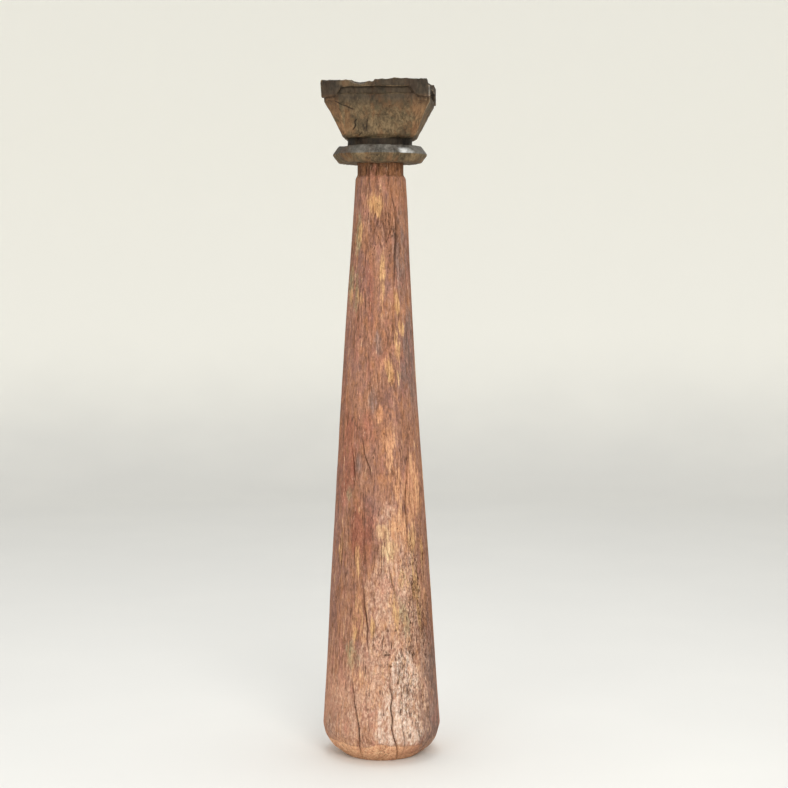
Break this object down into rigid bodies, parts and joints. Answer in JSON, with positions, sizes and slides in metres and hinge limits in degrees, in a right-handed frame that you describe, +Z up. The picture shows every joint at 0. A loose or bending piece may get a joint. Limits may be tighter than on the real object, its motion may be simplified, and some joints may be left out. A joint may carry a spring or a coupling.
{
  "type": "wooden pillar",
  "caption": "Weathered round wooden pillar that tapers upward from a chamfered foot to a carved square bell capital with a round bevelled collar.",
  "frame": {"origin": "centre of the foot's flat underside, on the floor", "axes": "+Z up along the pillar, -Y out of the capital's front face, +X to the right of the front"},
  "size_m": [0.374, 0.374, 2.105],
  "materials": {
    "shaft_wood": "dry weathered hardwood, bare, with worn paler streaks and open drying cracks",
    "capital_wood": "dark aged hardwood with old polish, dusty on its upper faces and worn pale along the edges"
  },
  "bodies": {
    "root": {"shaft": "shaft_wood", "capital": "capital_wood"}
  },
  "joints": []
}
